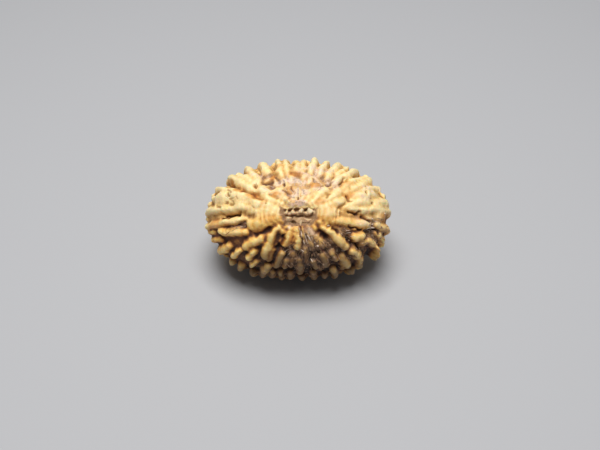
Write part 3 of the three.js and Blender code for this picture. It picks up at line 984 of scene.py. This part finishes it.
def add_pulp(stone_mesh):
    """The fibres and flakes of dried pulp, sunk a little way into the stone's skin."""
    faces = [list(polygon.vertices) for polygon in stone_mesh.polygons]
    skin = BVHTree.FromPolygons(read_places(stone_mesh).tolist(), faces)
    draw = draws_from(PULP_SEED)
    bm = bmesh.new()

    def on_skin(azimuth, polar):
        """The point on the skin, the direction that it faces and its height above the floor."""
        high = seed_point(*np.array([azimuth, polar, SKIN_LIMIT], float))
        up = outward(high)
        spot, _, _, depth = skin.ray_cast(Vector(high), Vector(-up))
        return np.array(spot), up, SKIN_LIMIT - depth

    def ring_radius(azimuth, polar):
        """How far a place on the floor is from the axis of the mouth."""
        return np.linalg.norm(seed_point(*np.array([azimuth, polar, 0], float))[:2])

    def a_turn():
        """The next draw, as a turn away from the run of the grooves."""
        return math.radians(between(draw, (-FIBRE_TURN, FIBRE_TURN)))

    def fibre(azimuth, polar, size=1.0, highest=FIBRE_HIGHEST):
        """Adds a fibre that starts at a place and bends on its way, if it lies low enough."""
        heading = a_turn()
        step = size * between(draw, FIBRE_LENGTH) / (FIBRE_POINTS - 1)
        radius = size * between(draw, FIBRE_RADIUS)
        places = []
        for _ in range(FIBRE_POINTS):
            places.append((azimuth, polar))
            polar += math.degrees(step * math.cos(heading) / FLOOR_HALF_DEPTH)
            ring = max(ring_radius(azimuth, polar), 1)
            azimuth += math.degrees(step * math.sin(heading) / ring)
            heading += a_turn() * FIBRE_BEND
        if np.mean([on_skin(*place)[2] for place in places]) < highest:
            strand(places, radius)

    def strand(places, radius):
        """Adds a thin round strand that lies on the skin along some places."""
        spots = [on_skin(*place) for place in places]
        ups = np.array([up for _, up, _ in spots])
        path = np.array([spot + up * radius * FIBRE_LIFT for spot, up, _ in spots])
        path[1:-1] = (path[1:-1] + (path[:-2] + path[2:]) / 2) / 2
        onward = np.gradient(path, axis=0)
        across = np.cross(onward, ups)
        across /= np.linalg.norm(across, axis=1, keepdims=True)

        def place(ball):
            at = (1 + ball[:, 2]) / 2 * (FIBRE_POINTS - 1)
            low = np.minimum(at.astype(int), FIBRE_POINTS - 2)
            share = (at - low)[:, None]
            middle = path[low] * (1 - share) + path[low + 1] * share
            beside = across[low] * (1 - share) + across[low + 1] * share
            return middle + radius * (beside * ball[:, :1] + ups[low] * ball[:, 1:2])

        add_ball(bm, FIBRE_SIDES, FIBRE_POINTS + 1, place)

    def flake(azimuth, polar):
        """Adds a flat flake, a little longer than it is wide."""
        spot, up, _ = on_skin(azimuth, polar)
        radius = between(draw, FLAKE_RADIUS)
        length = radius * between(draw, FLAKE_LENGTH)
        turn = math.tau * next(draw)
        first = np.cross(up, [math.cos(turn), math.sin(turn), FLAKE_LEAN])
        first /= np.linalg.norm(first)
        second = np.cross(up, first)

        def place(ball):
            flat = ball[:, :1] * length * first + ball[:, 1:2] * radius * second
            return spot + flat + ball[:, 2:] * FLAKE_THICKNESS * radius * up

        add_ball(bm, FLAKE_SIDES, FLAKE_STEPS, place)

    def film_fibre(azimuth, polar):
        fibre(azimuth, polar, FILM_FIBRE_SHARE, SKIN_LIMIT)

    def scatter(patches, make, density):
        """Makes as many of something as its density asks for, over each of some patches."""
        for middle_azimuth, middle_polar, half_azimuth, half_polar, strength in patches:
            wide = math.radians(half_azimuth) * ring_radius(middle_azimuth, middle_polar)
            area = math.pi * wide * math.radians(half_polar) * FLOOR_HALF_DEPTH * strength
            for _ in range(int(area * density)):
                reach = math.sqrt(next(draw))
                turn = math.tau * next(draw)
                make(
                    middle_azimuth + half_azimuth * reach * math.cos(turn),
                    middle_polar + half_polar * reach * math.sin(turn),
                )

    scatter(PULP, fibre, FIBRES_PER_AREA)
    scatter(PULP, flake, FLAKES_PER_AREA)
    dark_count = len(bm.verts)
    scatter(FILM, film_fibre, FILM_FIBRES_PER_AREA)
    for first_azimuth, first_polar, last_azimuth, last_polar, radius in STRANDS:
        azimuths = np.linspace(first_azimuth, last_azimuth, FIBRE_POINTS)
        polars = np.linspace(first_polar, last_polar, FIBRE_POINTS)
        strand(zip(azimuths, polars), radius)
    mesh = mesh_from(bm, "dried_pulp")
    points = read_places(mesh)
    write_attribute(mesh, "paleness", (np.arange(len(points)) >= dark_count).astype(float))
    azimuth, polar, _ = place_on_seed(points)
    streak = run_of_grooves(azimuth, distance_from_mouth(points, polar))
    write_attribute(mesh, "streak", streak)
    return add_object("dried_pulp", mesh)


def rest_on_ground(meshes):
    """Tilts the seed as it lies, wears its lowest ridges flat and puts them on the ground."""
    tilt = Matrix.Rotation(math.radians(90 - MOUTH_LIFT), 4, "X")
    for mesh in meshes:
        mesh.transform(tilt)
    centre_height = -read_places(meshes[0])[:, 2].min() - REST_TRIM
    for mesh in meshes:
        points = read_places(mesh)
        points[:, 2] = np.maximum(points[:, 2] + centre_height, 0)
        write_places(mesh, points * MM)
        for polygon in mesh.polygons:
            polygon.use_smooth = True
    return centre_height * MM


stone = body_with_ridges()
refine_mouth(stone.data)
mouth, mouth_lightness = press_mouth(stone.data)
azimuth, along, covers = roughen(stone.data, mouth)
covers["tone"] += (mouth_lightness - covers["tone"]) * mouth
for name in ("film", "pulp", "stain_and_shade"):
    covers[name] *= 1 - mouth
covers["mouth"] = mouth
covers["streak"] = run_of_grooves(azimuth, along)
for name, values in covers.items():
    write_attribute(stone.data, name, values)
pulp_piece = add_pulp(stone.data)
centre_height = rest_on_ground([stone.data, pulp_piece.data])


def add_node(tree, kind, **settings):
    node = tree.nodes.new("ShaderNode" + kind)
    for name, value in settings.items():
        setattr(node, name, value)
    return node


def feed(tree, socket, source):
    """Links a source to a socket, or sets the socket to it if it is a plain value."""
    if isinstance(source, bpy.types.NodeSocket):
        tree.links.new(source, socket)
    else:
        socket.default_value = source


def arithmetic(tree, operation, *sources, clamp=False):
    node = add_node(tree, "Math", operation=operation, use_clamp=clamp)
    for socket, source in zip(node.inputs, sources):
        feed(tree, socket, source)
    return node.outputs[0]


def attribute(tree, name):
    return add_node(tree, "Attribute", attribute_name=name).outputs["Fac"]


def smooth_range(tree, value, low, high, to_low=0.0, to_high=1.0):
    """Goes from to_low to to_high while the value goes from low to high."""
    node = add_node(tree, "MapRange", interpolation_type="SMOOTHSTEP")
    names = ("Value", "From Min", "From Max", "To Min", "To Max")
    for name, source in zip(names, (value, low, high, to_low, to_high)):
        feed(tree, node.inputs[name], source)
    return node.outputs["Result"]


def millimetres(tree):
    """Places on the object in millimetres."""
    spot = add_node(tree, "TexCoord").outputs["Object"]
    scaled = add_node(tree, "VectorMath", operation="SCALE")
    feed(tree, scaled.inputs[0], spot)
    feed(tree, scaled.inputs["Scale"], 1 / MM)
    return scaled.outputs[0]


def cloud(tree, spot, size=1.0, detail=1.0, roughness=0.5):
    """Smooth unevenness round 0.5, over about the given size in millimetres."""
    node = add_node(tree, "TexNoise")
    feed(tree, node.inputs["Vector"], spot)
    feed(tree, node.inputs["Scale"], 1 / size)
    feed(tree, node.inputs["Detail"], detail)
    feed(tree, node.inputs["Roughness"], roughness)
    return node.outputs["Fac"]


# The sockets for colours, of the many that a mix node has.
MIX_SHARE = 0
MIX_FIRST = 6
MIX_SECOND = 7
MIX_RESULT = 2


def blend_colours(tree, share, first, second, blend_type="MIX"):
    node = add_node(tree, "Mix", data_type="RGBA", blend_type=blend_type)
    for index, source in ((MIX_SHARE, share), (MIX_FIRST, first), (MIX_SECOND, second)):
        feed(tree, node.inputs[index], source)
    return node.outputs[MIX_RESULT]


def colour_ramp(tree, value, stops):
    """A colour for a value, from stops of a position and a colour."""
    node = add_node(tree, "ValToRGB")
    elements = node.color_ramp.elements
    while len(elements) < len(stops):
        elements.new(0.5)
    for element, (position, colour) in zip(elements, stops):
        element.position = position
        element.color = (*colour, 1)
    feed(tree, node.inputs["Fac"], value)
    return node.outputs["Color"]


def vector_attribute(tree, name):
    return add_node(tree, "Attribute", attribute_name=name).outputs["Vector"]


def scaled_vector(tree, vector, factors, shift=(0.0, 0.0, 0.0)):
    node = add_node(tree, "VectorMath", operation="MULTIPLY_ADD")
    for socket, source in zip(node.inputs, (vector, factors, shift)):
        feed(tree, socket, source)
    return node.outputs[0]


# The pattern of the skin. A pace is how many of something lie in a millimetre: two numbers across
# the run of the grooves, and one along it.
MOTTLE_SIZE = 1.3
FINE_SIZE = 0.3
PATTERN_DETAIL = 3.0
FINE_ROUGHNESS = 0.6
STREAK_PACE = (4.0, 4.0, 0.8)
PALE_FLECK_PACE = (2.6, 2.6, 1.6)
PALE_FLECK_RANGE = (0.62, 0.7)
RED_FLECK_PACE = (2.2, 2.2, 0.9)
RED_FLECK_SHIFT = (31.0, 17.0, 5.0)  # to another part of the pattern than the pale flecks
RED_FLECK_RANGE = (0.62, 0.72)
FINE_WRINKLE_LENGTH = 0.42
FINE_WRINKLE_BEND = 9.0  # how far they stray from even steps, in radians
FINE_WRINKLE_BEND_SIZE = 1.6
FINE_WRINKLE_HEIGHT = 0.12  # this height and the next are shares of the grain's
STREAK_HEIGHT = 0.5


def dried_skin_group():
    """Effects that the stone and the dried pulp share: mottling, streaks that run along the
    grooves, flecks, and a normal with grain, streaks and, on crests, fine cross wrinkles."""
    tree = bpy.data.node_groups.new("dried_skin", "ShaderNodeTree")
    for name in ("Relief", "Crest"):
        tree.interface.new_socket(name, in_out="INPUT", socket_type="NodeSocketFloat")
    patterns = ("Mottle", "Fine", "Streak", "Pale fleck", "Red fleck")
    for name in patterns:
        tree.interface.new_socket(name, in_out="OUTPUT", socket_type="NodeSocketFloat")
    tree.interface.new_socket("Normal", in_out="OUTPUT", socket_type="NodeSocketVector")
    given = tree.nodes.new("NodeGroupInput")
    result = tree.nodes.new("NodeGroupOutput")
    spot = millimetres(tree)
    run = vector_attribute(tree, "streak")
    mottle = cloud(tree, spot, MOTTLE_SIZE, PATTERN_DETAIL)
    fine = cloud(tree, spot, FINE_SIZE, PATTERN_DETAIL, FINE_ROUGHNESS)
    streak_spot = scaled_vector(tree, run, STREAK_PACE)
    streak = cloud(tree, streak_spot, detail=PATTERN_DETAIL, roughness=FINE_ROUGHNESS)
    pale_spot = scaled_vector(tree, run, PALE_FLECK_PACE)
    pale = smooth_range(tree, cloud(tree, pale_spot), *PALE_FLECK_RANGE)
    red_spot = scaled_vector(tree, run, RED_FLECK_PACE, RED_FLECK_SHIFT)
    red = smooth_range(tree, cloud(tree, red_spot), *RED_FLECK_RANGE)

    parted = add_node(tree, "SeparateXYZ")
    feed(tree, parted.inputs[0], run)
    bend = cloud(tree, spot, FINE_WRINKLE_BEND_SIZE)
    bend = arithmetic(tree, "MULTIPLY", bend, FINE_WRINKLE_BEND)
    pace = math.tau / FINE_WRINKLE_LENGTH
    turn = arithmetic(tree, "MULTIPLY_ADD", parted.outputs["Z"], pace, bend)
    wrinkle = arithmetic(tree, "MULTIPLY_ADD", arithmetic(tree, "SINE", turn), 0.5, 0.5)
    height = arithmetic(tree, "MULTIPLY", given.outputs["Crest"], FINE_WRINKLE_HEIGHT)
    height = arithmetic(tree, "MULTIPLY_ADD", wrinkle, height, fine)
    height = arithmetic(tree, "MULTIPLY_ADD", streak, STREAK_HEIGHT, height)
    height = arithmetic(tree, "MULTIPLY", height, given.outputs["Relief"])
    bump = add_node(tree, "Bump")
    feed(tree, bump.inputs["Strength"], 1.0)
    feed(tree, bump.inputs["Distance"], MM)
    feed(tree, bump.inputs["Height"], height)

    for name, source in zip(patterns, (mottle, fine, streak, pale, red)):
        feed(tree, result.inputs[name], source)
    feed(tree, result.inputs["Normal"], bump.outputs["Normal"])
    return tree


def new_material(name):
    material = bpy.data.materials.new(name)
    material.use_nodes = True
    return material, material.node_tree, material.node_tree.nodes["Principled BSDF"]


def add_group(tree, group, relief, crest):
    node = add_node(tree, "Group", node_tree=group)
    feed(tree, node.inputs["Relief"], relief)
    feed(tree, node.inputs["Crest"], crest)
    return node.outputs


# The colours of the stone, from its darkest tone (0) to its palest (1).
GROOVE_TO_CREST = [
    (0.0, (0.05, 0.016, 0.008)),
    (0.25, (0.18, 0.062, 0.02)),
    (0.5, (0.56, 0.25, 0.055)),
    (0.75, (0.86, 0.50, 0.12)),
    (1.0, (0.92, 0.67, 0.27)),
]
# Painted light: the paler colours of the upper side, which faces the light.
PAINTED_LIGHT_GROOVE_TO_CREST = [
    (0.0, (0.20, 0.08, 0.02)),
    (0.3, (0.58, 0.31, 0.085)),
    (0.6, (0.86, 0.59, 0.235)),
    (1.0, (0.92, 0.745, 0.40)),
]
MOUTH_TO_NUB = [
    (0.0, (0.24, 0.13, 0.06)),
    (0.25, (0.38, 0.215, 0.10)),
    (0.6, (0.70, 0.50, 0.28)),
    (1.0, (0.86, 0.69, 0.46)),
]
TONE_MIX = (("Mottle", 0.4), ("Streak", 0.2), ("Fine", 0.3))  # how much each moves the tone
CREST_TONE = (0.45, 0.75)  # the tone over which the fine wrinkles set in
STONE_RELIEF = 0.09  # the height of the grain, in millimetres
STONE_ROUGHNESS = (0.3, 1.0, 0.75, 0.5)  # a low tone and a high one, and the roughness of each
TRANSLUCENCY = 0.3
TRANSLUCENCY_REACH = (1, 0.45, 0.16)  # of red, green and blue light, in millimetres

# What covers it, and the painted shade. A ramp is a low and a high value, and what each of them is
# turned into.
FILM_COLOUR = (0.80, 0.62, 0.50, 1)
FILM_SPECK_COLOUR = (0.42, 0.31, 0.24, 1)
FILM_RAMP = (0.42, 0.6, 0.1, 0.75)  # from the mottling to how thick the film is
FILM_SPECK_RAMP = (0.36, 0.46, 0.7, 0.0)  # from the grain to its specks
PULP_DARK = (0.10, 0.052, 0.026, 1)
PULP_MIDDLE = (0.40, 0.23, 0.12, 1)
PULP_PALE = (0.72, 0.52, 0.36, 1)
PULP_RED = (0.36, 0.11, 0.07, 1)
PULP_STREAK_RANGE = (0.35, 0.75)
PULP_RED_SHARE = 0.6
PULP_PALE_SHARE = 0.7
PULP_CREST_RAMP = (0.4, 0.9, 1.0, 0.3)  # from the tone to how thick the pulp is
PULP_TONE_SHARE = 0.3  # how much lighter the pulp gets with the tone
PULP_TONE_START = -0.1
# The brown of the hollows: partly their own colour, partly painted shade.
HOLLOW_COLOUR = (0.30, 0.17, 0.09, 1)
# The orange-brown of those patches: partly real stain, partly painted shade.
STAIN_AND_SHADE_COLOUR = (0.78, 0.50, 0.24, 1)
# Painted shade: the grey-brown that darkens the colour where the stone lies in shade.
PAINTED_SHADE_COLOUR = (0.24, 0.185, 0.15, 1)

# The loose fibres and flakes.
STRAND_DARK = (0.52, 0.38, 0.28, 1)
STRAND_PALE = (0.74, 0.60, 0.46, 1)
STRAND_RANGE = (0.4, 0.6)
FIBRE_LIGHTNESS = 0.12
FIBRE_RELIEF = 0.04
FIBRE_ROUGHNESS = 0.65


def pulp_colour(tree, shared, lightness):
    """Grey-brown that is streaked along the grooves, with pale and reddish flecks."""
    streak = arithmetic(tree, "ADD", shared["Streak"], lightness)
    share = smooth_range(tree, streak, *PULP_STREAK_RANGE)
    colour = blend_colours(tree, share, PULP_DARK, PULP_MIDDLE)
    reddish = arithmetic(tree, "MULTIPLY", shared["Red fleck"], PULP_RED_SHARE)
    colour = blend_colours(tree, reddish, colour, PULP_RED)
    palish = arithmetic(tree, "MULTIPLY", shared["Pale fleck"], PULP_PALE_SHARE)
    return blend_colours(tree, palish, colour, PULP_PALE)


def stone_material(group):
    """Brown in its grooves and golden on its crests, with painted shade in its recesses and painted
    light on its upper side, and one cover after another laid over that where the attributes of the
    mesh say."""
    material, tree, shader = new_material("stone")
    tone = attribute(tree, "tone")
    shared = add_group(tree, group, STONE_RELIEF, smooth_range(tree, tone, *CREST_TONE))
    level = tone
    for pattern, strength in TONE_MIX:
        lowered = arithmetic(tree, "SUBTRACT", level, strength / 2)
        level = arithmetic(tree, "MULTIPLY_ADD", shared[pattern], strength, lowered)
    level = arithmetic(tree, "ADD", level, 0.0, clamp=True)
    colour = colour_ramp(tree, level, GROOVE_TO_CREST)
    # Painted light: the upper side takes the paler colours.
    pale = colour_ramp(tree, level, PAINTED_LIGHT_GROOVE_TO_CREST)
    colour = blend_colours(tree, attribute(tree, "pale"), colour, pale)

    thickness = smooth_range(tree, shared["Mottle"], *FILM_RAMP)
    film = arithmetic(tree, "MULTIPLY", attribute(tree, "film"), thickness)
    specks = smooth_range(tree, shared["Fine"], *FILM_SPECK_RAMP)
    dusty = blend_colours(tree, specks, FILM_COLOUR, FILM_SPECK_COLOUR)
    colour = blend_colours(tree, film, colour, dusty)

    thickness = smooth_range(tree, tone, *PULP_CREST_RAMP)
    pulp = arithmetic(tree, "MULTIPLY", attribute(tree, "pulp"), thickness)
    lightness = arithmetic(tree, "MULTIPLY_ADD", tone, PULP_TONE_SHARE, PULP_TONE_START)
    colour = blend_colours(tree, pulp, colour, pulp_colour(tree, shared, lightness))

    mouth = colour_ramp(tree, level, MOUTH_TO_NUB)
    colour = blend_colours(tree, attribute(tree, "mouth"), colour, mouth)
    # Multiplied over the colour: the hollows' brown and the orange-brown patches, both partly
    # painted shade, and the painted shade.
    for cover, tint in (("brown", HOLLOW_COLOUR), ("stain_and_shade", STAIN_AND_SHADE_COLOUR), ("painted_shade", PAINTED_SHADE_COLOUR)):
        tinted = blend_colours(tree, 1.0, colour, tint, "MULTIPLY")
        colour = blend_colours(tree, attribute(tree, cover), colour, tinted)
    feed(tree, shader.inputs["Base Color"], colour)
    feed(tree, shader.inputs["Roughness"], smooth_range(tree, level, *STONE_ROUGHNESS))
    shader.inputs["Subsurface Weight"].default_value = TRANSLUCENCY
    shader.inputs["Subsurface Radius"].default_value = TRANSLUCENCY_REACH
    shader.inputs["Subsurface Scale"].default_value = MM
    feed(tree, shader.inputs["Normal"], shared["Normal"])
    return material


def pulp_material(group):
    """The dark pulp of the fibres and flakes, and the paler colour of the strands on the film."""
    material, tree, shader = new_material("dried pulp")
    shared = add_group(tree, group, FIBRE_RELIEF, 0.0)
    colour = pulp_colour(tree, shared, FIBRE_LIGHTNESS)
    share = smooth_range(tree, shared["Fine"], *STRAND_RANGE)
    pale = blend_colours(tree, share, STRAND_DARK, STRAND_PALE)
    colour = blend_colours(tree, attribute(tree, "paleness"), colour, pale)
    feed(tree, shader.inputs["Base Color"], colour)
    shader.inputs["Roughness"].default_value = FIBRE_ROUGHNESS
    feed(tree, shader.inputs["Normal"], shared["Normal"])
    return material


dried_skin = dried_skin_group()
stone.data.materials.clear()
stone.data.materials.append(stone_material(dried_skin))
pulp_piece.data.materials.append(pulp_material(dried_skin))
for piece in (stone, pulp_piece):
    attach(piece, BODY)
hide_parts(NODE)

# The stage: a sheet of pale grey paper under one soft light, in a room that is faintly lit all
# round.
PAPER_SIZE = 3.0
PAPER_COLOUR = (0.42, 0.42, 0.43, 1)
PAPER_ROUGHNESS = 0.8
ROOM_COLOUR = (0.92, 0.95, 1, 1)
ROOM_STRENGTH = 0.13
SOFTBOX_PLACE = Vector((-0.01, -0.01, 0.36))
SOFTBOX_TARGET = Vector((0, 0, 0.01))
SOFTBOX_SIZE = 0.2
SOFTBOX_POWER = 1.65

floor_bm = bmesh.new()
bmesh.ops.create_grid(floor_bm, x_segments=1, y_segments=1, size=PAPER_SIZE / 2)
floor = add_object("floor", mesh_from(floor_bm, "floor"))
paper, _, paper_shader = new_material("paper")
paper_shader.inputs["Base Color"].default_value = PAPER_COLOUR
paper_shader.inputs["Roughness"].default_value = PAPER_ROUGHNESS
floor.data.materials.append(paper)

room = bpy.data.worlds.new("studio")
room.use_nodes = True
room_light = room.node_tree.nodes["Background"]
room_light.inputs["Color"].default_value = ROOM_COLOUR
room_light.inputs["Strength"].default_value = ROOM_STRENGTH
bpy.context.scene.world = room

softbox = bpy.data.lights.new("overhead", "AREA")
softbox.size = SOFTBOX_SIZE
softbox.energy = SOFTBOX_POWER
softbox_stand = add_object("overhead", softbox)
softbox_stand.location = SOFTBOX_PLACE
aim = SOFTBOX_TARGET - SOFTBOX_PLACE
softbox_stand.rotation_euler = aim.to_track_quat("-Z", "Y").to_euler()

# The camera, which sees the seed at the photograph's angle, scale and place. Its lengths are in
# millimetres.
PIXELS_PER_MM = 5.8
CAMERA_DISTANCE = 150.0
CAMERA_LIFT = 45.0  # how far it looks down from level, in degrees
CAMERA_NEAREST = 5.0  # what is nearer isn't seen
SENSOR = 36.0
PHOTO_WIDTH = 600
PHOTO_HEIGHT = 450
SEED_PIXEL = (298, 219)  # where the middle of the seed is in the photograph

camera = bpy.data.cameras.new("camera")
camera.sensor_width = SENSOR
camera.lens = PIXELS_PER_MM * CAMERA_DISTANCE * SENSOR / PHOTO_WIDTH
camera.shift_x = -(SEED_PIXEL[0] - PHOTO_WIDTH / 2) / PHOTO_WIDTH
camera.shift_y = (SEED_PIXEL[1] - PHOTO_HEIGHT / 2) / PHOTO_WIDTH
camera.clip_start = CAMERA_NEAREST * MM
camera_stand = add_object("camera", camera)
lift = math.radians(CAMERA_LIFT)
towards_camera = Vector((0, -math.cos(lift), math.sin(lift)))
seed_centre = Vector((0, 0, centre_height))
camera_stand.location = seed_centre + towards_camera * CAMERA_DISTANCE * MM
camera_stand.rotation_euler = (math.radians(90 - CAMERA_LIFT), 0, 0)
bpy.context.scene.camera = camera_stand
bpy.context.scene.view_settings.view_transform = "Standard"
bpy.context.view_layer.update()
